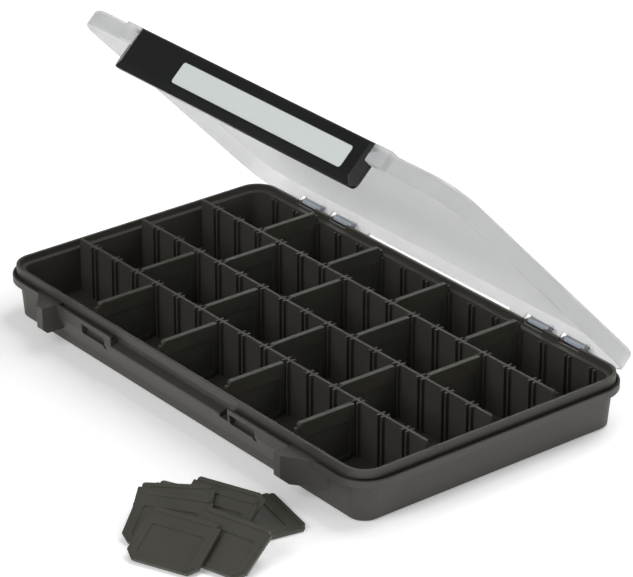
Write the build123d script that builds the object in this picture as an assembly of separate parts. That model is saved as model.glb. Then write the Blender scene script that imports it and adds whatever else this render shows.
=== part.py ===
"""Flat compartment storage box: ribbed tray, lift-out dividers, clear hinged lid and snap latch.

The tray stands on Z = 0 with its centre at the origin. X runs along the long sides, and -Y is
the front, where the latch is. The lid stands half open, as it does in the photograph.
"""

from build123d import *
import math
import os

# Divider slots and rows
slot_pitch = 21.5
slot_count = 15
row_pitch = 47.1
row_count = 4
partition_thickness = 1.8
slot_gap = 2.6
rib_thickness = 1.3
rib_height = 2.2
rib_root = 0.6
rib_top_drop = 1.0
end_space = 16.8

# Tray
floor_thickness = 2.0
shoulder_height = 30.8
lip_height = 34.5
partition_top = 37.0
lip_thickness = 1.8
shoulder_width = 3.7
bead_bottom = 29.3
flange_bottom = 24.5
flange_shelf = 2.0
upstand_height = 2.3
upstand_thickness = 1.4
flange_overhang = 3.9
flange_corner = 22.5
wall_step = 1.9
wall_draft = 2.1
cavity_corner = 9.0
lip_corner = 15.0
foot_round = 1.2

# Front of the tray: belt, catch windows and guard lugs
belt_end_slope = 4.0
belt_bottom = 6.0
belt_brow = 21.2
belt_overhang = 3.6
ledge_top = 22.7
ledge_rise = 1.5
recess_half = 57.5
ledge_notch_width = 8.0
ledge_notch_depth = 2.2
left_window_post = 6.8
right_window_post = 1.5
window_width = 23.4
window_bottom = 19.3
window_backing = 1.7
window_bevel = 1.5
drain_width = 3.0
drain_depth = 2.0
drain_backing = 0.3
lug_gap = 0.9
lug_width = 6.0
lug_slant = 22.7
lug_reach = 10.3
lug_bottom = 11.6
lug_chamfer = 3.2
lug_lean = 0.4

# Lid
lid_side_gap = 0.8
lid_front_reach = 7.6
lid_rear_reach = 3.4
lid_wall = 1.6
lid_plate = 1.8
lid_headroom = 2.0
lid_seat_gap = 0.5
lid_front_corner = 24.0
lid_rear_corner = 20.0
lid_top_round = 3.0
lid_rear_cutout = 67.0
lid_rear_lift = 2.7
lid_bead_inset = 9.0
lid_bead_width = 2.4
lid_bead_height = 0.6
lid_open_angle = 46.4

# Hinges
hinge_centres = (-124.4, -92.7, 92.7, 124.4)
hinge_setback = 4.9
hinge_drop = 3.7
pin_radius = 1.6
pin_length = 3.2
pin_clearance = 0.05
barrel_radius = 3.2
barrel_length = 17.0
barrel_gap = 0.3
ear_thickness = 3.0
ear_radius = 2.9
ear_cut_rise = 1.3
ear_side_gap = 0.9
ear_top_gap = 0.3
web_rise = 4.4
web_depth = 4.5
pocket_margin = 0.4
lip_notch_depth = 2.6

# Latch
latch_half_length = 112.9
latch_notch_width = 4.0
latch_end_taper = 6.4
latch_plate = 2.4
latch_depth = 5.2
latch_gap = 0.9
latch_top_drop = 0.4
latch_drop = 27.8
latch_bevel_rise = 4.9
latch_bevel_depth = 2.2
latch_end_depth = 1.7
latch_end_gap = 0.7
latch_flange = 2.2
latch_corner = 4.0
latch_top_round = 1.0
latch_relief_width = 1.4
latch_relief_drop = 1.8
trunnion_radius = 1.5
trunnion_root = 2.4
trunnion_reach = 4.1
trunnion_clearance = 0.05
trunnion_from_top = 2.6
trunnion_from_back = 1.9
hook_inset = 3.0
hook_thickness = 2.2
hook_drop = 0.7
hook_gap = 0.3
hook_rib = 1.6
hook_rib_rise = 9.0
boss_gap = 0.4
boss_width = 13.7
boss_reach = 5.1
boss_round = 1.2

# Label card
label_left = -59.0
label_right = 97.5
label_bottom = 6.3
label_height = 14.4
label_pocket = 0.5
label_thickness = 0.4
label_clearance = 0.15
label_corner = 2.0

# Dividers
divider_end_gap = 0.4
tongue_thickness = 2.0
tongue_top_drop = 2.6
plate_thickness = 2.4
rim_thickness = 3.2
rim_height = 2.6
rim_rib_gap = 0.5
rim_corner = 1.6
divider_chamfer = 5.0
panel_depth = 0.5
panel_margin = 3.6
panel_bottom_margin = 3.2
panel_share = 0.62
front_row_slots = (4, 7, 10, 13)
rear_row_slots = (3, 6, 9, 12)

# Loose dividers: two lie flat, and six lean on them and on each other like fallen books
pile_x = 126.0
pile_y = -170.6
pile_facing = 25.0
pile_tilt = 26.0
pile_layer_gap = 0.3
flat_spares = ((-29.0, 0.0), (19.0, -36.0))
leaning_spares = ((0.0, -2.0), (0.5, -1.0), (-21.4, 13.0), (-18.6, 6.0), (20.6, -6.0), (-5.4, -1.5))

# Sizes that follow from the ones above
slot_middle = (slot_count + 1) / 2
cavity_half_x = (slot_count - 1) / 2 * slot_pitch + end_space
cavity_half_y = row_count / 2 * row_pitch - partition_thickness / 2
lip_half_x = cavity_half_x + shoulder_width + lip_thickness
lip_half_y = cavity_half_y + shoulder_width + lip_thickness
flange_half_x = lip_half_x + flange_overhang
flange_half_y = lip_half_y + flange_overhang
wall_half_x = lip_half_x - wall_step
wall_half_y = lip_half_y - wall_step
flange_top = flange_bottom + flange_shelf + upstand_height
belt_front = lip_half_y + belt_overhang
lug_front_inner = latch_half_length + lug_gap
belt_half = lug_front_inner
lug_front_outer = lug_front_inner + lug_width
lug_root_outer = lug_front_outer + lug_slant
lug_front = flange_half_y + lug_reach
lid_bottom = flange_top + lid_seat_gap
lid_ceiling = partition_top + lid_headroom
lid_top = lid_ceiling + lid_plate
lid_half_x = lip_half_x + lid_side_gap + lid_wall
lid_front = lip_half_y + lid_front_reach
lid_rear = lip_half_y + lid_rear_reach
hinge_y = lip_half_y + hinge_setback
hinge_z = lip_height - hinge_drop
hinge_axis = Axis((0, hinge_y, hinge_z), (1, 0, 0))
ear_reach = barrel_length / 2 + barrel_gap + ear_thickness
latch_back = lid_front + latch_gap
latch_front = latch_back + latch_depth
latch_top = lid_top - latch_top_drop
latch_bottom = latch_top - latch_drop
latch_notch = lid_bottom - latch_end_gap
latch_upper_half = latch_half_length - latch_notch_width
latch_front_half = latch_half_length - latch_end_taper
trunnion_y = -(latch_back + trunnion_from_back)
trunnion_z = latch_top - trunnion_from_top
hook_top = flange_bottom - hook_drop
slot_depth = row_pitch - partition_thickness
divider_width = slot_depth - 2 * divider_end_gap
divider_height = partition_top - floor_thickness
rim_width = slot_depth - 2 * (rib_height + rim_rib_gap)


def box_between(x_range: tuple, y_range: tuple, z_range: tuple) -> Part:
    """A block between two corners, given as a low and a high value for each axis."""
    sizes = [high - low for low, high in (x_range, y_range, z_range)]
    middle = [(high + low) / 2 for low, high in (x_range, y_range, z_range)]
    return Pos(*middle) * Box(*sizes)


def rounded_block(half_x: float, half_y: float, corner: float, z_range: tuple, middle_y: float = 0.0) -> Part:
    """A block with round upright corners, centred on X = 0."""
    outline = RectangleRounded(2 * half_x, 2 * half_y, corner)
    return Pos(0, middle_y, z_range[0]) * extrude(outline, z_range[1] - z_range[0])


def slot_x(slot: int) -> float:
    """The place along X of a divider slot, counted from 1 at the left end."""
    return (slot - slot_middle) * slot_pitch


def opened(piece: Part) -> Part:
    """Turn a piece of the closed lid up to the angle at which the lid stands."""
    return piece.rotate(hinge_axis, -lid_open_angle)


def rib_pair_sketch(slot: int, y_low: float, y_high: float) -> Sketch:
    """The two ribs beside one slot, in plan, from one Y to another."""
    offset = (slot_gap + rib_thickness) / 2
    rib = Rectangle(rib_thickness, y_high - y_low)
    middle_y = (y_low + y_high) / 2
    return Pos(slot_x(slot) - offset, middle_y) * rib + Pos(slot_x(slot) + offset, middle_y) * rib


def tray_walls() -> Part:
    """The drafted outer walls, the flange with its gutter and the lip's bead, before they are hollowed."""
    draft = math.degrees(math.atan2(wall_draft, flange_bottom))
    wall_corner = lip_corner - wall_step
    foot = RectangleRounded(
        2 * (wall_half_x - wall_draft), 2 * (wall_half_y - wall_draft), wall_corner - wall_draft
    )
    body = extrude(foot, flange_bottom, taper=-draft)
    body = chamfer(body.faces().sort_by(Axis.Z)[0].edges(), foot_round)
    body += rounded_block(wall_half_x, wall_half_y, wall_corner, (flange_bottom, lip_height))
    body += rounded_block(lip_half_x, lip_half_y, lip_corner, (bead_bottom, lip_height))
    flange = rounded_block(flange_half_x, flange_half_y, flange_corner, (flange_bottom, flange_top))
    flange -= rounded_block(
        flange_half_x - upstand_thickness,
        flange_half_y - upstand_thickness,
        flange_corner - upstand_thickness,
        (flange_bottom + flange_shelf, flange_top),
    )
    return body + flange


def tray_hollow() -> Part:
    """The space inside the tray: the well below the shoulder and the wider mouth above it."""
    well = rounded_block(cavity_half_x, cavity_half_y, cavity_corner, (floor_thickness, lip_height))
    mouth_x = lip_half_x - lip_thickness
    mouth_y = lip_half_y - lip_thickness
    mouth = rounded_block(mouth_x, mouth_y, lip_corner - lip_thickness, (shoulder_height, lip_height))
    return well + mouth


def tray_ribs() -> Part:
    """The slot ribs on the inside of the front and rear walls."""
    ribs = Sketch()
    for slot in range(1, slot_count + 1):
        for side in (-1, 1):
            ends = sorted((side * (cavity_half_y - rib_height), side * (cavity_half_y + rib_root)))
            ribs += rib_pair_sketch(slot, ends[0], ends[1])
    return Pos(0, 0, floor_thickness) * extrude(ribs, shoulder_height - rib_top_drop - floor_thickness)


def front_belt() -> Part:
    """The sloping belt on the front wall, up to the flange, with ends that slope back in plan."""
    root_y = wall_half_y - wall_draft
    section = make_face(
        Polyline(
            (-root_y, belt_bottom),
            (-belt_front, belt_brow),
            (-belt_front, flange_bottom),
            (-root_y, flange_bottom),
            close=True,
        )
    )
    root_half = belt_half + belt_end_slope
    plan = make_face(
        Polyline(
            (-root_half, -root_y),
            (-belt_half, -belt_front),
            (belt_half, -belt_front),
            (root_half, -root_y),
            close=True,
        )
    )
    along = Pos(-root_half, 0, 0) * extrude(Plane.YZ * section, 2 * root_half, dir=(1, 0, 0))
    return along & extrude(plan, flange_bottom)


def recess_cut() -> Part:
    """What is cut from the flange and belt between the catches, down to the sloping ledge and its notch."""
    outer = flange_half_y + window_bevel
    ledge_slope = ledge_rise / (belt_front - wall_half_y)
    section = make_face(
        Polyline(
            (-wall_half_y, ledge_top + ledge_rise),
            (-outer, ledge_top - ledge_slope * (outer - belt_front)),
            (-outer, bead_bottom),
            (-wall_half_y, bead_bottom),
            close=True,
        )
    )
    cut = Pos(-recess_half, 0, 0) * extrude(Plane.YZ * section, 2 * recess_half, dir=(1, 0, 0))
    return cut + box_between(
        (recess_half - ledge_notch_width, recess_half),
        (-outer, -wall_half_y),
        (ledge_top - ledge_notch_depth, bead_bottom),
    )


def window_ends(side: int) -> tuple:
    """The low and the high X of one catch window: the left one for -1, the right one for 1."""
    post = left_window_post if side < 0 else right_window_post
    inner = side * (recess_half + post)
    return tuple(sorted((inner, inner + side * window_width)))


def catch_window(side: int) -> Part:
    """What is cut from the belt for one latch hook, with the bevel above it and the drain at its right."""
    back = -(wall_half_y + window_backing)
    outer = flange_half_y + window_bevel
    bevel_start = flange_half_y - window_bevel
    section = make_face(
        Polyline(
            (back, window_bottom),
            (-outer, window_bottom),
            (-outer, flange_bottom + outer - bevel_start),
            (-bevel_start, flange_bottom),
            (back, flange_bottom),
            close=True,
        )
    )
    left_end, right_end = window_ends(side)
    window = Pos(left_end, 0, 0) * extrude(Plane.YZ * section, window_width, dir=(1, 0, 0))
    return window + box_between(
        (right_end - drain_width, right_end),
        (-outer, -(wall_half_y + drain_backing)),
        (window_bottom - drain_depth, flange_bottom),
    )


def tray_lug(side: int) -> Part:
    """One lug that guards an end of the latch, with a slanted outer side."""
    root_y = -(wall_half_y - wall_draft)
    outline = make_face(
        Polyline(
            (side * (lug_front_inner - lug_lean), root_y),
            (side * lug_front_inner, -lug_front),
            (side * lug_front_outer, -lug_front),
            (side * lug_root_outer, root_y),
            close=True,
        )
    )
    lug = Pos(0, 0, lug_bottom) * extrude(outline, flange_top - lug_bottom, dir=(0, 0, 1))
    low_front = lug.edges().filter_by(Axis.X).group_by(Axis.Z)[0].sort_by(Axis.Y)[0]
    return chamfer(low_front, lug_chamfer)


def hinge_pocket(centre: float) -> Part:
    """The gap in the rear flange in which one lid barrel turns, and the notch in the lip beside it."""
    half = barrel_length / 2 + barrel_gap
    outer = flange_half_y + pocket_margin
    pocket = box_between(
        (centre - half, centre + half), (lip_half_y + pocket_margin, outer), (flange_bottom, flange_top)
    )
    return pocket + box_between(
        (centre - half, centre + half), (cavity_half_y, outer), (lip_height - lip_notch_depth, lip_height)
    )


def hinge_ears(centre: float) -> Part:
    """The two open-topped ears beside one lid barrel, into which its pins snap."""
    ears = Part()
    root_y = lip_half_y - lip_thickness / 2
    for side in (-1, 1):
        low, high = sorted((centre + side * (ear_reach - ear_thickness), centre + side * ear_reach))
        ear = Pos((low + high) / 2, hinge_y, hinge_z) * Rot(0, 90, 0) * Cylinder(ear_radius, high - low)
        ear += box_between((low, high), (root_y, hinge_y), (hinge_z - ear_radius, hinge_z + ear_radius))
        ear += box_between(
            (low, high), (wall_half_y - wall_draft, flange_half_y), (flange_bottom, hinge_z)
        )
        ears += ear - box_between(
            (low, high), (lip_half_y, hinge_y + ear_radius), (hinge_z + ear_cut_rise, lip_height)
        )
    axle = Pos(centre, hinge_y, hinge_z) * Rot(0, 90, 0)
    return ears - axle * Cylinder(pin_radius + pin_clearance, 2 * ear_reach)


def make_tray() -> Part:
    """The whole tray without its long partitions."""
    tray = tray_walls() + front_belt() - recess_cut()
    for centre in hinge_centres:
        tray -= hinge_pocket(centre)
    for side in (-1, 1):
        tray -= catch_window(side)
        tray += tray_lug(side)
    for centre in hinge_centres:
        tray += hinge_ears(centre)
    tray -= tray_hollow()
    return tray + tray_ribs()


def make_partition(middle_y: float) -> Part:
    """One long partition with slot ribs on both faces."""
    plan = Rectangle(2 * cavity_half_x, partition_thickness)
    reach = partition_thickness / 2 + rib_height
    for slot in range(1, slot_count + 1):
        plan += rib_pair_sketch(slot, -reach, reach)
    return Pos(0, middle_y, floor_thickness) * extrude(plan, partition_top - floor_thickness)


def divider_profile(width: float, low: float, high: float, chamfer_size: float) -> Sketch:
    """A divider's outline seen flat, with its two lower corners cut off."""
    half = width / 2
    return make_face(
        Polyline(
            (-half, high),
            (half, high),
            (half, low + chamfer_size),
            (half - chamfer_size, low),
            (-half + chamfer_size, low),
            (-half, low + chamfer_size),
            close=True,
        )
    )


def make_divider() -> Part:
    """One divider, flat on the XY plane and centred on the origin, its thick rim towards +Y."""
    low = -divider_height / 2
    high = divider_height / 2
    tongues = divider_profile(divider_width, low, high - tongue_top_drop, divider_chamfer)
    middle = divider_profile(rim_width, low, high - rim_height, divider_chamfer)
    rim = Pos(0, high - rim_height / 2) * Rectangle(rim_width, rim_height)
    divider = extrude(tongues, tongue_thickness / 2, both=True)
    divider += extrude(middle, plate_thickness / 2, both=True)
    rim_bar = extrude(rim, rim_thickness / 2, both=True)
    rim_ends = rim_bar.edges().filter_by(Axis.Z).group_by(Axis.Y)[-1]
    divider += fillet(rim_ends, rim_corner)
    panel_width = rim_width - 2 * panel_margin
    panel_height = divider_height * panel_share
    panel_middle = low + panel_bottom_margin + panel_height / 2
    panel = Pos(0, panel_middle) * RectangleRounded(panel_width, panel_height, divider_chamfer / 2)
    for side in (-1, 1):
        outer = side * plate_thickness / 2
        divider -= Pos(0, 0, outer) * extrude(panel, -side * panel_depth, dir=(0, 0, 1))
    return divider


def installed_divider(divider: Part, row: int, slot: int) -> Part:
    """A divider standing in one slot of one row, counted from the front."""
    middle_y = (row - (row_count - 1) / 2) * row_pitch
    upright = Rot(0, 0, 90) * Rot(90, 0, 0) * divider
    return Pos(slot_x(slot), middle_y, floor_thickness + divider_height / 2) * upright


def pile_place(across: float, along: float, up: float, tilt: float) -> Location:
    """A place in the heap, from the line on the floor where its lowest leaning divider stands."""
    facing = Location((pile_x, pile_y, 0), (0, 0, pile_facing))
    slope = Location((0, 0, 0), (tilt, 0, 0))
    return facing * slope * Location((across, along, up))


def lowest_reach(turn: float) -> float:
    """How far a turned divider reaches downhill of its own centre."""
    half_width = divider_width / 2
    half_height = divider_height / 2
    angle = math.radians(turn)
    right_corners = (
        (half_width, divider_chamfer - half_height),
        (half_width - divider_chamfer, -half_height),
        (half_width, half_height - tongue_top_drop),
        (rim_width / 2, half_height),
    )
    across = abs(math.sin(angle))
    return max(x * across - y * math.cos(angle) for x, y in right_corners)


def flat_divider(divider: Part, across: float, turn: float) -> Part:
    """A spare divider that lies flat on the floor under the leaning ones."""
    clear = (rim_thickness + pile_layer_gap) / math.tan(math.radians(pile_tilt))
    place = pile_place(across, lowest_reach(turn) + clear, rim_thickness / 2, 0)
    return place * Rot(0, 0, turn) * divider


def loose_dividers(divider: Part) -> list:
    """The spare dividers in front of the tray: the flat ones and then the leaning ones, lowest first."""
    spares = [flat_divider(divider, across, turn) for across, turn in flat_spares]
    for layer, (across, turn) in enumerate(leaning_spares):
        under = layer * (rim_thickness + pile_layer_gap)
        along = lowest_reach(turn) - under / math.tan(math.radians(pile_tilt))
        place = pile_place(across, along, under + rim_thickness / 2, pile_tilt)
        spares.append(place * Rot(0, 0, turn) * divider)
    return spares


def lid_outline(shrink: float) -> Sketch:
    """The lid in plan, drawn in by an even amount all round."""
    half_x = lid_half_x - shrink
    outline = Pos(0, (lid_rear - lid_front) / 2) * Rectangle(2 * half_x, lid_rear + lid_front - 2 * shrink)
    outline = fillet(outline.vertices().group_by(Axis.Y)[0], lid_front_corner - shrink)
    return fillet(outline.vertices().group_by(Axis.Y)[-1], lid_rear_corner - shrink)


def lid_layer(shrink: float, z_range: tuple) -> Part:
    """A slab with the lid's outline, drawn in by an even amount."""
    return Pos(0, 0, z_range[0]) * extrude(lid_outline(shrink), z_range[1] - z_range[0])


def lid_shell() -> Part:
    """The closed lid's plate and skirt, with the bead round its top."""
    shell = lid_layer(0, (lid_bottom, lid_top))
    shell = fillet(shell.faces().sort_by(Axis.Z)[-1].edges(), lid_top_round)
    shell -= lid_layer(lid_wall, (lid_bottom, lid_ceiling))
    bead_range = (lid_top - lid_plate / 2, lid_top + lid_bead_height)
    bead = lid_layer(lid_bead_inset, bead_range)
    return shell + (bead - lid_layer(lid_bead_inset + lid_bead_width, bead_range))


def lid_skirt_cuts() -> Part:
    """What is cut from the rear skirt: the long middle gap and the room for the tray's ears."""
    rear = (lid_rear - 2 * lid_wall, lid_rear + lid_wall)
    cuts = box_between((-lid_rear_cutout, lid_rear_cutout), rear, (lid_bottom, lid_bottom + lid_rear_lift))
    half = ear_reach + ear_side_gap
    notch_top = hinge_z + ear_radius + ear_top_gap
    for centre in hinge_centres:
        cuts += box_between((centre - half, centre + half), rear, (lid_bottom, notch_top))
    return cuts


def lid_barrel(centre: float) -> Part:
    """One hinge barrel, the pins on its ends and the web that joins it to the lid."""
    axle = Pos(centre, hinge_y, hinge_z) * Rot(0, 90, 0)
    barrel = axle * Cylinder(barrel_radius, barrel_length)
    barrel += axle * Cylinder(pin_radius, barrel_length + 2 * pin_length)
    half = barrel_length / 2
    web_low = lid_rear - lid_wall
    web_top = hinge_z + web_rise
    return barrel + box_between(
        (centre - half, centre + half), (web_low, web_low + web_depth), (hinge_z, web_top)
    )


def lid_boss(side: int) -> Part:
    """One boss on the front of the lid that holds a latch trunnion."""
    inner = latch_upper_half + boss_gap
    ends = sorted((side * inner, side * (inner + boss_width)))
    boss = box_between(ends, (-(lid_front + boss_reach), -(lid_front - lid_wall / 2)), (lid_bottom, lid_top))
    boss = fillet(boss.edges().filter_by(Axis.X).group_by(Axis.Y)[0], boss_round)
    bore_end = side * (inner + trunnion_reach)
    bore = Pos(bore_end / 2, trunnion_y, trunnion_z) * Rot(0, 90, 0)
    return boss - bore * Cylinder(trunnion_radius + trunnion_clearance, abs(bore_end))


def make_lid() -> Part:
    """The closed lid with its hinge barrels and latch bosses."""
    lid = lid_shell() - lid_skirt_cuts()
    for centre in hinge_centres:
        lid += lid_barrel(centre)
    return lid + lid_boss(-1) + lid_boss(1)


def latch_section() -> Sketch:
    """The latch's outline seen from its end, in the YZ plane."""
    return make_face(
        Polyline(
            (-latch_back, latch_top - latch_relief_drop),
            (-(latch_back + latch_relief_width), latch_top),
            (-(latch_front - latch_top_round), latch_top),
            (-latch_front, latch_top - latch_top_round),
            (-latch_front, latch_bottom + latch_bevel_rise),
            (-(latch_front - latch_bevel_depth), latch_bottom),
            (-latch_back, latch_bottom),
            close=True,
        )
    )


def latch_plan() -> Sketch:
    """The latch's outline seen from above, with ends that slope back to the lid."""
    return make_face(
        Polyline(
            (-latch_half_length, -latch_back),
            (-latch_half_length, -(latch_back + latch_end_depth)),
            (-latch_front_half, -latch_front),
            (latch_front_half, -latch_front),
            (latch_half_length, -(latch_back + latch_end_depth)),
            (latch_half_length, -latch_back),
            close=True,
        )
    )


def latch_face() -> Sketch:
    """The latch's outline seen from the front, with notched upper ends that clear the lid's bosses."""
    upper = latch_top - latch_notch
    lower = latch_notch - latch_bottom
    outline = Pos(0, latch_notch + upper / 2) * Rectangle(2 * latch_upper_half, upper)
    outline += Pos(0, latch_bottom + lower / 2) * Rectangle(2 * latch_half_length, lower)
    return fillet(outline.vertices().group_by(Axis.Y)[0], latch_corner)


def latch_body() -> Part:
    """The latch as a solid bar, before its back is hollowed."""
    length = 2 * latch_half_length
    along = Pos(-latch_half_length, 0, 0) * extrude(Plane.YZ * latch_section(), length, dir=(1, 0, 0))
    above = Pos(0, 0, latch_bottom) * extrude(latch_plan(), latch_drop, dir=(0, 0, 1))
    face = Pos(0, -latch_front, 0) * Rot(90, 0, 0) * latch_face()
    return along & above & extrude(face, latch_depth, dir=(0, 1, 0))


def latch_hook(side: int) -> Part:
    """One hook on the back of the latch, with the two ribs that stiffen it."""
    window_left, window_right = window_ends(side)
    left_end = window_left + hook_inset
    right_end = window_right - hook_inset
    plate_back = -(latch_front - latch_plate)
    hook_bottom = hook_top - hook_thickness
    hook = box_between(
        (left_end, right_end), (plate_back, -(flange_half_y + hook_gap)), (hook_bottom, hook_top)
    )
    for rib in ((left_end, left_end + hook_rib), (right_end - hook_rib, right_end)):
        hook += box_between(rib, (plate_back, plate_back + hook_rib), (hook_bottom, hook_top + hook_rib_rise))
    return hook


def label_place(depth: float) -> tuple:
    """The middle of the label on the latch's face, at a depth behind that face."""
    middle_x = (label_left + label_right) / 2
    middle_z = latch_bottom + label_bottom + label_height / 2
    return (middle_x, -latch_front + depth, middle_z)


def label_block(shrink: float, thickness: float, depth: float) -> Part:
    """A rounded plate in the label's place, whose front is at a depth behind the latch's face."""
    width = label_right - label_left - 2 * shrink
    outline = RectangleRounded(width, label_height - 2 * shrink, label_corner)
    face = Pos(*label_place(depth)) * Rot(90, 0, 0) * outline
    return extrude(face, thickness, dir=(0, 1, 0))


def make_latch() -> Part:
    """The closed lid's latch: a bar with a hollow back, hooks, trunnions and a label pocket."""
    latch = latch_body()
    latch -= box_between(
        (-(latch_front_half - latch_plate), latch_front_half - latch_plate),
        (-(latch_front - latch_plate), -latch_back),
        (latch_bottom + latch_flange, latch_top - latch_flange),
    )
    for side in (-1, 1):
        latch += latch_hook(side)
        reach = trunnion_root + trunnion_reach
        middle = side * (latch_upper_half - trunnion_root + reach / 2)
        latch += Pos(middle, trunnion_y, trunnion_z) * Rot(0, 90, 0) * Cylinder(trunnion_radius, reach)
    return latch - label_block(0, label_pocket, 0)


def make_label() -> Part:
    """The plain card in the latch's label pocket."""
    return label_block(label_clearance, label_thickness, label_pocket - label_thickness)


def save(name: str, piece: Part, colour: tuple) -> None:
    """Write one named piece to its own file."""
    piece.label = name
    piece.color = Color(*colour)
    export_step(piece, os.path.join("parts", name + ".step"))


def main() -> None:
    """Make every piece and write it."""
    os.makedirs("parts", exist_ok=True)
    tray_colour = (0.20, 0.19, 0.17)
    divider_colour = (0.24, 0.24, 0.20)
    save("base_tray", make_tray(), tray_colour)
    for name, number in (("front", -1), ("middle", 0), ("rear", 1)):
        save("partition_" + name, make_partition(number * row_pitch), tray_colour)
    divider = make_divider()
    for row in range(row_count):
        for slot in (front_row_slots, rear_row_slots)[row % 2]:
            name = "divider_row{}_slot{:02d}".format(row + 1, slot)
            save(name, installed_divider(divider, row, slot), divider_colour)
    for number, spare in enumerate(loose_dividers(divider), 1):
        save("loose_divider_{}".format(number), spare, divider_colour)
    save("lid", opened(make_lid()), (0.80, 0.82, 0.84))
    save("latch", opened(make_latch()), (0.10, 0.11, 0.10))
    save("label_card", opened(make_label()), (0.76, 0.80, 0.79))


main()
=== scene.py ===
"""Looks, lamps and camera of the flat compartment storage box, half open on a white floor."""

import logging
import math
from dataclasses import dataclass
from enum import Enum
from typing import Any

import bpy
from mathutils import Matrix, Vector

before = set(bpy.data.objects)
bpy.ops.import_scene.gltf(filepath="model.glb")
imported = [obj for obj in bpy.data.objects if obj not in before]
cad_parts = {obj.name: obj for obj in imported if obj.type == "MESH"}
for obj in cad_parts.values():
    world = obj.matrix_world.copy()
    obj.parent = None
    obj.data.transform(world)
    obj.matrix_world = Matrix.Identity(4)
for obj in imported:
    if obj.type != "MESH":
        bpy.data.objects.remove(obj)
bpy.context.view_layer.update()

LOG = logging.getLogger("storage_box")
WHITE = "#ffffff"

# One millimetre in metres, and the width of the camera's sensor in millimetres.
MILLIMETRE = 0.001
SENSOR_WIDTH = 36.0

# How many looks round a corner each spot takes to find its rounded normal.
CORNER_SAMPLES = 4

# The sRGB curve: a straight part near black, then a power.
SRGB_STRAIGHT_END = 0.04045
SRGB_STRAIGHT_SLOPE = 12.92
SRGB_OFFSET = 0.055
SRGB_POWER = 2.4

# Noise seldom leaves the middle of its range, so a colour ramp spans only that.
RAMP_START = 0.3
RAMP_END = 0.7


class Sheen(Enum):
    """How rough a moulded surface comes out of its tool, by how that tool was finished."""

    SPARK_ERODED = 0.5
    STONED = 0.36
    SILKY = 0.24


class Slot(Enum):
    """The material slots that the record names."""

    TRAY = "tray"
    DIVIDER = "divider"
    LID = "lid"
    LATCH = "latch"
    LABEL = "label"


def linear(hex_colour: str) -> tuple[float, float, float, float]:
    """Turn an sRGB hex colour into the linear values that shaders use.

    Args:
        hex_colour: Six hex digits after a hash.

    Returns:
        Linear red, green and blue, and an alpha of one.
    """
    channels = []
    for start in (1, 3, 5):
        value = int(hex_colour[start : start + 2], 16) / 255
        if value <= SRGB_STRAIGHT_END:
            channels.append(value / SRGB_STRAIGHT_SLOPE)
        else:
            channels.append(((value + SRGB_OFFSET) / (1 + SRGB_OFFSET)) ** SRGB_POWER)
    return (channels[0], channels[1], channels[2], 1.0)


def add_node(
    tree: bpy.types.NodeTree, kind: str, inputs: dict | None = None, **settings: Any
) -> bpy.types.Node:
    """Add one shader node and set or link its inputs.

    Args:
        tree: The node tree that gets the node.
        kind: Blender's name of the kind of node.
        inputs: Values, or sockets of other nodes, by the name or number of the input.
        **settings: Other values that belong to the node itself.

    Returns:
        The new node.
    """
    node = tree.nodes.new(kind)
    for key, value in settings.items():
        setattr(node, key, value)
    for key, value in (inputs or {}).items():
        if isinstance(value, bpy.types.NodeSocket):
            tree.links.new(value, node.inputs[key])
        else:
            node.inputs[key].default_value = value
    return node


def noise(tree: bpy.types.NodeTree, place: bpy.types.NodeSocket, size: float, detail: float) -> Any:
    """Add a noise pattern whose clouds have a real size.

    Args:
        tree: The node tree that gets the pattern.
        place: The socket with the place in the piece's own frame, in metres.
        size: The size of one cloud in millimetres.
        detail: How many finer layers the pattern has.

    Returns:
        The socket with the pattern's value.
    """
    scale = 1 / (size * MILLIMETRE)
    inputs = {"Vector": place, "Scale": scale, "Detail": detail}
    return add_node(tree, "ShaderNodeTexNoise", inputs).outputs["Fac"]


def reckon(tree: bpy.types.NodeTree, operation: str, first: Any, second: float | Any = 0.0) -> Any:
    """Add one step of arithmetic.

    Args:
        tree: The node tree that gets the step.
        operation: Blender's name of the step.
        first: The first value or socket.
        second: The second value or socket, where the step takes two.

    Returns:
        The socket with the result.
    """
    inputs = {0: first, 1: second}
    return add_node(tree, "ShaderNodeMath", inputs, operation=operation).outputs["Value"]


def span(
    tree: bpy.types.NodeTree,
    value: Any,
    start: float,
    end: float,
    first: float = 0.0,
    last: float = 1.0,
) -> Any:
    """Add a value that runs from one number to another while a second value crosses a range.

    Args:
        tree: The node tree that gets the value.
        value: The socket that crosses the range.
        start: Where the range starts.
        end: Where the range ends.
        first: The result at the start and before it.
        last: The result at the end and beyond it.

    Returns:
        The socket with the result.
    """
    inputs = {"Value": value, "From Min": start, "From Max": end, "To Min": first, "To Max": last}
    return add_node(tree, "ShaderNodeMapRange", inputs).outputs["Result"]


def length(tree: bpy.types.NodeTree, vector: bpy.types.NodeSocket) -> Any:
    """Add the length of a vector.

    Args:
        tree: The node tree that gets the length.
        vector: The socket with the vector.

    Returns:
        The socket with its length.
    """
    return add_node(tree, "ShaderNodeVectorMath", {0: vector}, operation="LENGTH").outputs["Value"]


def between(tree: bpy.types.NodeTree, pattern: Any, low: str, high: str) -> Any:
    """Add a colour that runs from one sRGB colour to another with a pattern.

    Args:
        tree: The node tree that gets the colour.
        pattern: The socket with the pattern's value.
        low: The colour where the pattern is low.
        high: The colour where the pattern is high.

    Returns:
        The socket with the colour.
    """
    ramp = add_node(tree, "ShaderNodeValToRGB", {"Fac": pattern})
    stops = ((RAMP_START, low), (RAMP_END, high))
    for element, (position, colour) in zip(ramp.color_ramp.elements, stops):
        element.position = position
        element.color = linear(colour)
    return ramp.outputs["Color"]


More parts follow.
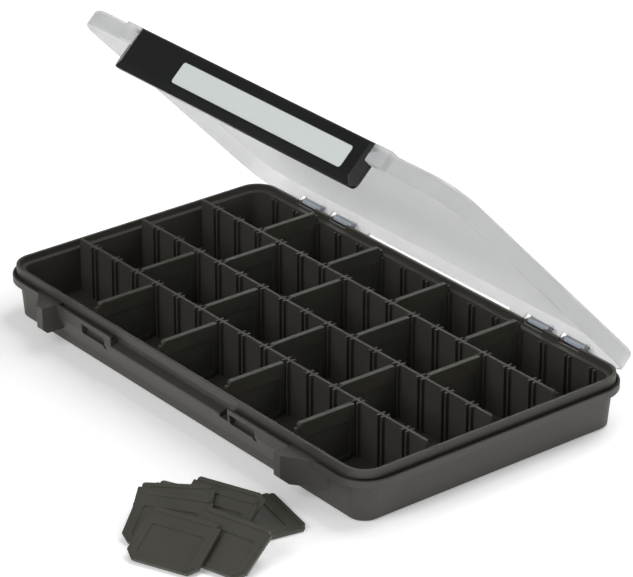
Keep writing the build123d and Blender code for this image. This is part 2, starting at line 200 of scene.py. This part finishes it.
def mixed(tree: bpy.types.NodeTree, share: float | Any, first: Any, second: Any) -> Any:
    """Mix two shaders.

    Args:
        tree: The node tree that gets the mix.
        share: The second shader's share, as a number or a socket.
        first: The socket with the first shader.
        second: The socket with the second shader.

    Returns:
        The socket with the mix.
    """
    inputs = {"Fac": share, 1: first, 2: second}
    return add_node(tree, "ShaderNodeMixShader", inputs).outputs["Shader"]


def empty_material(name: str) -> tuple[bpy.types.Material, bpy.types.NodeTree, Any]:
    """Make a material that has only the place in the piece's own frame.

    Args:
        name: The name of the material.

    Returns:
        The material, its node tree and the socket with the place in metres.
    """
    material = bpy.data.materials.new(name)
    material.use_nodes = True
    tree = material.node_tree
    tree.nodes.clear()
    place = add_node(tree, "ShaderNodeTexCoord").outputs["Object"]
    return material, tree, place


@dataclass(frozen=True)
class MouldedPlastic:
    """Pigmented polypropylene from an injection mould.

    Polypropylene is waxy: its highlight is broad and soft. The colour shifts a little where the
    melt flowed slowly, and the corners come out rounded by some tenths of a millimetre, which
    draws a pale line along each rib and rim.

    Attributes:
        name: The name of the material.
        colour: The sRGB colour of the pigment.
        slow_colour: The sRGB colour where the melt flowed slowly.
        sheen: How the tool was finished.
        sheen_spread: How far the roughness strays from that to either side.
        grain: The size of the tool's grain in millimetres.
        grain_detail: How many finer layers the grain has.
        relief: The depth of the grain in millimetres.
        relief_strength: The share of that depth that counts.
        flow: The size of the flow clouds in millimetres.
        flow_detail: How many finer layers the clouds have.
        edge: The radius of the corners in millimetres.
        ior: The index of refraction of polypropylene.
    """

    name: str
    colour: str
    slow_colour: str
    sheen: Sheen
    sheen_spread: float = 0.04
    grain: float = 0.4
    grain_detail: float = 2.0
    relief: float = 0.01
    relief_strength: float = 0.5
    flow: float = 35.0
    flow_detail: float = 3.0
    edge: float = 0.3
    ior: float = 1.49

    def material(self) -> bpy.types.Material:
        """Build the material.

        Returns:
            The finished material.
        """
        material, tree, place = empty_material(self.name)
        clouds = noise(tree, place, self.flow, self.flow_detail)
        corner = {"Radius": self.edge * MILLIMETRE}
        rounded = add_node(tree, "ShaderNodeBevel", corner, samples=CORNER_SAMPLES)
        grain = {
            "Strength": self.relief_strength,
            "Distance": self.relief * MILLIMETRE,
            "Height": noise(tree, place, self.grain, self.grain_detail),
            "Normal": rounded.outputs["Normal"],
        }
        smoothest = self.sheen.value - self.sheen_spread
        roughest = self.sheen.value + self.sheen_spread
        surface = {
            "Base Color": between(tree, clouds, self.slow_colour, self.colour),
            "Roughness": span(tree, clouds, 0.0, 1.0, smoothest, roughest),
            "IOR": self.ior,
            "Normal": add_node(tree, "ShaderNodeBump", grain).outputs["Normal"],
        }
        shader = add_node(tree, "ShaderNodeBsdfPrincipled", surface)
        add_node(tree, "ShaderNodeOutputMaterial", {"Surface": shader.outputs["BSDF"]})
        return material


@dataclass(frozen=True)
class ClearPlastic:
    """Natural polypropylene without pigment, in a finely stoned tool.

    Its crystals scatter light, so the sheet is milky: what lies behind it shows as soft pale
    shapes. The hinge barrels are many times thicker than the sheet, so they look blue-grey, and
    their underside is painted near black, as painted shade of the tray pocket that they lie in.

    Attributes:
        name: The name of the material.
        colour: The sRGB colour of light that comes straight through one surface.
        milk: The sRGB colour of the light that the crystals scatter.
        milkiness: The share of light that one surface scatters.
        backscatter: The share of the scattered light that comes back instead of going on.
        openness: The share of light that passes one surface without bending.
        sheen: How the tool was finished.
        ripple: The size of the faint waves of the sheet in millimetres.
        ripple_detail: How many finer layers the waves have.
        relief: The depth of the waves in millimetres.
        relief_strength: The share of that depth that counts.
        ior: The index of refraction of polypropylene.
        barrel_tone: The sRGB colour that the thick barrels scatter.
        barrel_painted_shade: The sRGB colour of the painted shade on their underside.
        barrel_axis: The Y and Z of their common axis in the lid's own frame, in millimetres.
        barrel_radius: Their radius in millimetres.
        barrel_half: Half their length in millimetres.
        barrel_pair: How far the middle of a pair is from the lid's middle, in millimetres.
        barrel_spread: How far each barrel is from the middle of its pair, in millimetres.
        barrel_depth: The share of their look that is thick plastic and not sheet.
        barrel_rim: Where the thick look starts to end and where it ends, in radii from the axis.
        barrel_painted_shade_fade: Where the painted shade on the underside ends and where the full
            tone starts,
        in radii over the axis.
    """

    name: str
    colour: str
    milk: str
    milkiness: float = 0.4
    backscatter: float = 0.5
    openness: float = 0.2
    sheen: Sheen = Sheen.SILKY
    ripple: float = 28.0
    ripple_detail: float = 1.0
    relief: float = 0.08
    relief_strength: float = 0.5
    ior: float = 1.49
    barrel_tone: str = "#a4adb8"
    barrel_painted_shade: str = "#161513"
    barrel_axis: tuple[float, float] = (103.7, 30.8)
    barrel_radius: float = 3.2
    barrel_half: float = 8.5
    barrel_pair: float = 108.55
    barrel_spread: float = 15.85
    barrel_depth: float = 0.9
    barrel_rim: tuple[float, float] = (1.02, 1.12)
    barrel_painted_shade_fade: tuple[float, float] = (0.26, 0.4)

    def barrel_share(self, tree: bpy.types.NodeTree, place: Any, offset: Any) -> Any:
        """Find out how much of a spot belongs to a hinge barrel.

        Args:
            tree: The node tree that gets the sums.
            place: The socket with the place in the piece's own frame, in metres.
            offset: The socket with the way from the barrels' axis, in metres.

        Returns:
            The socket with the share, from none to barrel_depth.
        """
        radius = self.barrel_radius * MILLIMETRE
        rim_start, rim_end = (radii * radius for radii in self.barrel_rim)
        round_axis = span(tree, length(tree, offset), rim_start, rim_end, self.barrel_depth, 0.0)
        along = add_node(tree, "ShaderNodeSeparateXYZ", {0: place}).outputs["X"]
        # Each fold lays the two halves of the lid, or of what is left of it, on each other.
        for fold in (self.barrel_pair, self.barrel_spread, self.barrel_half):
            along = reckon(tree, "SUBTRACT", reckon(tree, "ABSOLUTE", along), fold * MILLIMETRE)
        inside = reckon(tree, "LESS_THAN", along, 0.0)
        return reckon(tree, "MULTIPLY", round_axis, inside)

    def thick(self, tree: bpy.types.NodeTree, sheet: Any, place: bpy.types.NodeSocket) -> Any:
        """Lay the look of thick plastic, painted shade on its underside included, over the shader
        of the sheet where the barrels are.

        Args:
            tree: The node tree that gets the look.
            sheet: The socket with the shader of the sheet.
            place: The socket with the place in the piece's own frame, in metres.

        Returns:
            The socket with the finished shader.
        """
        axis_y, axis_z = (value * MILLIMETRE for value in self.barrel_axis)
        across = {0: place, 1: (0.0, 1.0, 1.0), 2: (0.0, -axis_y, -axis_z)}
        from_axis = add_node(tree, "ShaderNodeVectorMath", across, operation="MULTIPLY_ADD")
        offset = from_axis.outputs["Vector"]
        height = add_node(tree, "ShaderNodeSeparateXYZ", {0: offset}).outputs["Z"]
        radius = self.barrel_radius * MILLIMETRE
        shade_fade_start, shade_fade_end = (radii * radius for radii in self.barrel_painted_shade_fade)
        # Painted shade: under the axis the barrels run to a near-black colour that stands in for
        # the shadowed tray pocket below them.
        clear_of_painted_shade = span(tree, height, shade_fade_start, shade_fade_end)
        tone = between(tree, clear_of_painted_shade, self.barrel_painted_shade, self.barrel_tone)
        body = {"Base Color": tone, "Roughness": self.sheen.value, "IOR": self.ior}
        solid = add_node(tree, "ShaderNodeBsdfPrincipled", body).outputs["BSDF"]
        return mixed(tree, self.barrel_share(tree, place, offset), sheet, solid)

    def material(self) -> bpy.types.Material:
        """Build the material.

        Returns:
            The finished material.
        """
        material, tree, place = empty_material(self.name)
        waves = {
            "Strength": self.relief_strength,
            "Distance": self.relief * MILLIMETRE,
            "Height": noise(tree, place, self.ripple, self.ripple_detail),
        }
        bent = {
            "Base Color": linear(self.colour),
            "Roughness": self.sheen.value,
            "IOR": self.ior,
            "Transmission Weight": 1.0,
            "Normal": add_node(tree, "ShaderNodeBump", waves).outputs["Normal"],
        }
        milk = {"Color": linear(self.milk)}
        clear = add_node(tree, "ShaderNodeBsdfPrincipled", bent).outputs["BSDF"]
        onward = add_node(tree, "ShaderNodeBsdfTranslucent", milk).outputs["BSDF"]
        back = add_node(tree, "ShaderNodeBsdfDiffuse", milk).outputs["BSDF"]
        open_colour = {"Color": linear(self.colour)}
        straight = add_node(tree, "ShaderNodeBsdfTransparent", open_colour).outputs["BSDF"]
        crystals = mixed(tree, self.backscatter, onward, back)
        haze = mixed(tree, self.milkiness, clear, crystals)
        sheet = mixed(tree, self.openness, haze, straight)
        add_node(tree, "ShaderNodeOutputMaterial", {"Surface": self.thick(tree, sheet, place)})
        return material


@dataclass(frozen=True)
class Card:
    """Matt coated card, cut from a sheet.

    Its fibres show only as a faint mottle, and the coating gives it an even, dull face.

    Attributes:
        name: The name of the material.
        colour: The sRGB colour of the coating.
        shade: The sRGB colour in the hollows between the fibres.
        fibre: The size of the mottle in millimetres.
        fibre_detail: How many finer layers the mottle has.
        relief: The depth of the mottle in millimetres.
        relief_strength: The share of that depth that counts.
        roughness: The roughness of the coating.
        ior: The index of refraction of the coating.
    """

    name: str
    colour: str
    shade: str
    fibre: float = 1.2
    fibre_detail: float = 4.0
    relief: float = 0.01
    relief_strength: float = 0.4
    roughness: float = 0.6
    ior: float = 1.5

    def material(self) -> bpy.types.Material:
        """Build the material.

        Returns:
            The finished material.
        """
        material, tree, place = empty_material(self.name)
        mottle = noise(tree, place, self.fibre, self.fibre_detail)
        fibres = {
            "Strength": self.relief_strength,
            "Distance": self.relief * MILLIMETRE,
            "Height": mottle,
        }
        surface = {
            "Base Color": between(tree, mottle, self.shade, self.colour),
            "Roughness": self.roughness,
            "IOR": self.ior,
            "Normal": add_node(tree, "ShaderNodeBump", fibres).outputs["Normal"],
        }
        shader = add_node(tree, "ShaderNodeBsdfPrincipled", surface)
        add_node(tree, "ShaderNodeOutputMaterial", {"Surface": shader.outputs["BSDF"]})
        return material


@dataclass
class SubAssembly:
    """A group of CAD nodes that share one finish.

    Attributes:
        prefixes: What the names of its nodes start with.
        slot: The material slot of the record that it takes its finish from.
        finish: The finish of all its pieces.
    """

    prefixes: tuple[str, ...]
    slot: Slot
    finish: MouldedPlastic | ClearPlastic | Card

    def pieces(self) -> dict[str, bpy.types.Object]:
        """Find the CAD nodes that belong to the group.

        Returns:
            The objects by name.
        """
        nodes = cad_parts
        return {name: piece for name, piece in nodes.items() if name.startswith(self.prefixes)}

    def dress(self) -> int:
        """Give every piece of the group its finish.

        Returns:
            How many pieces were dressed.
        """
        material = self.finish.material()
        found = self.pieces()
        for name, piece in found.items():
            piece.data.materials.clear()
            piece.data.materials.append(material)
            LOG.info("%s takes %s in slot %s", name, material.name, self.slot.value)
        return len(found)


@dataclass
class Tray(SubAssembly):
    """The base tray and its long partitions, one dark warm grey moulding."""

    prefixes: tuple[str, ...] = ("base_tray", "partition_")
    slot: Slot = Slot.TRAY
    finish: MouldedPlastic = MouldedPlastic(
        "tray_polypropylene",
        colour="#43403b",
        slow_colour="#3f3d38",
        sheen=Sheen.SPARK_ERODED,
    )


@dataclass
class Dividers(SubAssembly):
    """The dividers, standing and loose, in a slightly greener and smoother grey than the tray."""

    prefixes: tuple[str, ...] = ("divider_", "loose_divider_")
    slot: Slot = Slot.DIVIDER
    finish: MouldedPlastic = MouldedPlastic(
        "divider_polypropylene",
        colour="#43423a",
        slow_colour="#3f3e37",
        sheen=Sheen.STONED,
        flow=20.0,
    )


@dataclass
class Lid(SubAssembly):
    """The hinged lid, milky and see-through."""

    prefixes: tuple[str, ...] = ("lid",)
    slot: Slot = Slot.LID
    finish: ClearPlastic = ClearPlastic(
        "lid_natural_polypropylene", colour="#f0f0ef", milk="#e6e7e9"
    )


@dataclass
class Latch(SubAssembly):
    """The near-black latch bar."""

    prefixes: tuple[str, ...] = ("latch",)
    slot: Slot = Slot.LATCH
    finish: MouldedPlastic = MouldedPlastic(
        "latch_polypropylene",
        colour="#080d0a",
        slow_colour="#070b08",
        sheen=Sheen.SILKY,
        edge=0.8,
    )


@dataclass
class Label(SubAssembly):
    """The plain card in the latch."""

    prefixes: tuple[str, ...] = ("label_card",)
    slot: Slot = Slot.LABEL
    finish: Card = Card("label_coated_card", colour="#d4dad7", shade="#cfd6d3")


@dataclass(frozen=True)
class Lamp:
    """A square soft lamp that points at the box.

    Attributes:
        name: The name of the lamp.
        azimuth: Where it stands round the box, in degrees from -Y towards +X.
        elevation: How high it stands over the horizon, in degrees.
        distance: How far it is from the box in metres.
        width: The width of its face in metres.
        power: Its power in watts.
        colour: The sRGB colour of its light.
    """

    name: str
    azimuth: float
    elevation: float
    distance: float
    width: float
    power: float
    colour: str = WHITE

    def put_up(self, aim: Vector) -> None:
        """Add the lamp to the scene.

        Args:
            aim: The point that the lamp looks at, in metres.
        """
        light = bpy.data.lights.new(self.name, "AREA")
        light.shape = "SQUARE"
        light.size = self.width
        light.energy = self.power
        light.color = linear(self.colour)[:3]
        lamp = bpy.data.objects.new(self.name, light)
        away = direction(self.azimuth, self.elevation)
        lamp.location = aim + away * self.distance
        lamp.rotation_euler = away.to_track_quat("Z", "Y").to_euler()
        bpy.context.scene.collection.objects.link(lamp)
        LOG.info("lamp %s, %.0f W", self.name, self.power)


def direction(azimuth: float, elevation: float) -> Vector:
    """The direction from the box to something that stands round it.

    Args:
        azimuth: Degrees from -Y towards +X.
        elevation: Degrees over the horizon.

    Returns:
        A vector of length one.
    """
    turn, rise = math.radians(azimuth), math.radians(elevation)
    level = math.cos(rise)
    return Vector((math.sin(turn) * level, -math.cos(turn) * level, math.sin(rise)))


@dataclass
class Studio:
    """The white floor, the pale surroundings, the lamps and the camera.

    Attributes:
        floor_half: Half the width of the floor in metres.
        floor_colour: The sRGB colour of the floor.
        floor_glow: The strength of the light that comes up through the floor.
        fade_from: How far from the box the floor begins to turn plain white, in metres.
        fade_to: How far from the box it is plain white for the camera, in metres.
        surround: The strength of the pale light from all round.
        aim: The point that the camera looks at, in metres.
        azimuth: Where the camera stands round the box, in degrees from -Y towards +X.
        elevation: How high the camera stands over the horizon, in degrees.
        distance: How far the camera is from that point in metres.
        focal_length: The focal length in millimetres, on a sensor of SENSOR_WIDTH.
        view_depth: How far the camera sees, in metres.
    """

    floor_half: float = 6.0
    floor_colour: str = "#f4f4f4"
    floor_glow: float = 0.24
    fade_from: float = 0.8
    fade_to: float = 1.5
    surround: float = 0.26
    aim: tuple[float, float, float] = (-0.0010, 0.0082, 0.0491)
    azimuth: float = 51.65
    elevation: float = 25.99
    distance: float = 2.010
    focal_length: float = 192.06
    view_depth: float = 50.0

    def lay_floor(self) -> None:
        """Lay a large white sheet under the box, lit a little from below, plain white far off."""
        half = self.floor_half
        corners = [(-half, -half, 0), (half, -half, 0), (half, half, 0), (-half, half, 0)]
        mesh = bpy.data.meshes.new("studio_floor")
        mesh.from_pydata(corners, [], [(0, 1, 2, 3)])
        floor = bpy.data.objects.new("studio_floor", mesh)
        bpy.context.scene.collection.objects.link(floor)
        material, tree, place = empty_material("studio_opal_sheet")
        paper = add_node(tree, "ShaderNodeBsdfDiffuse", {"Color": linear(self.floor_colour)})
        glow = {"Color": linear(WHITE), "Strength": self.floor_glow}
        lit = {
            0: paper.outputs["BSDF"],
            1: add_node(tree, "ShaderNodeEmission", glow).outputs["Emission"],
        }
        near = add_node(tree, "ShaderNodeAddShader", lit).outputs["Shader"]
        plain = {"Color": linear(WHITE), "Strength": 1.0}
        far = add_node(tree, "ShaderNodeEmission", plain).outputs["Emission"]
        camera_ray = add_node(tree, "ShaderNodeLightPath").outputs["Is Camera Ray"]
        faded = span(tree, length(tree, place), self.fade_from, self.fade_to)
        shader = mixed(tree, reckon(tree, "MULTIPLY", faded, camera_ray), near, far)
        add_node(tree, "ShaderNodeOutputMaterial", {"Surface": shader})
        mesh.materials.append(material)

    def light_surround(self) -> None:
        """Make the surroundings white for the camera and pale for everything else."""
        world = bpy.data.worlds.new("studio_surround")
        world.use_nodes = True
        tree = world.node_tree
        tree.nodes.clear()
        path = add_node(tree, "ShaderNodeLightPath")
        plain = {"Color": linear(WHITE), "Strength": 1.0}
        white = add_node(tree, "ShaderNodeBackground", plain).outputs["Background"]
        pale = {"Color": linear(WHITE), "Strength": self.surround}
        shader = add_node(tree, "ShaderNodeBackground", pale).outputs["Background"]
        for ray in ("Is Transmission Ray", "Is Camera Ray"):
            shader = mixed(tree, path.outputs[ray], shader, white)
        add_node(tree, "ShaderNodeOutputWorld", {"Surface": shader})
        bpy.context.scene.world = world

    def place_camera(self) -> None:
        """Put the camera where the photograph was taken."""
        lens = bpy.data.cameras.new("photo_camera")
        lens.sensor_fit = "HORIZONTAL"
        lens.sensor_width = SENSOR_WIDTH
        lens.lens = self.focal_length
        lens.clip_end = self.view_depth
        camera = bpy.data.objects.new("photo_camera", lens)
        away = direction(self.azimuth, self.elevation)
        turn = Matrix.Rotation(math.radians(self.azimuth), 4, "Z")
        tilt = Matrix.Rotation(math.radians(90 - self.elevation), 4, "X")
        place = Matrix.Translation(Vector(self.aim) + away * self.distance)
        camera.matrix_world = place @ turn @ tilt
        bpy.context.scene.collection.objects.link(camera)
        bpy.context.scene.camera = camera

    def put_up(self, lamps: tuple[Lamp, ...]) -> None:
        """Build the whole studio.

        Args:
            lamps: The lamps that light the box.
        """
        LOG.info("studio with %d lamps", len(lamps))
        self.lay_floor()
        self.light_surround()
        self.place_camera()
        for lamp in lamps:
            lamp.put_up(Vector(self.aim))


LAMPS = (
    Lamp("rear_softbox", azimuth=178.0, elevation=60.0, distance=2.2, width=1.6, power=34.0),
    Lamp("front_softbox", azimuth=4.0, elevation=34.0, distance=2.4, width=1.4, power=25.0),
    Lamp("right_softbox", azimuth=112.0, elevation=26.0, distance=2.2, width=0.9, power=6.5),
)
SUB_ASSEMBLIES = (Tray, Dividers, Lid, Latch, Label)


def main() -> None:
    """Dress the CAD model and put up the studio."""
    logging.basicConfig(level=logging.INFO, format="%(name)s: %(message)s")
    dressed = 0
    for kind in SUB_ASSEMBLIES:
        dressed += kind().dress()
    LOG.info("%d pieces of %d dressed", dressed, len(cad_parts))
    Studio().put_up(LAMPS)
    bpy.context.scene.view_settings.view_transform = "Standard"


if __name__ == "__main__":
    main()
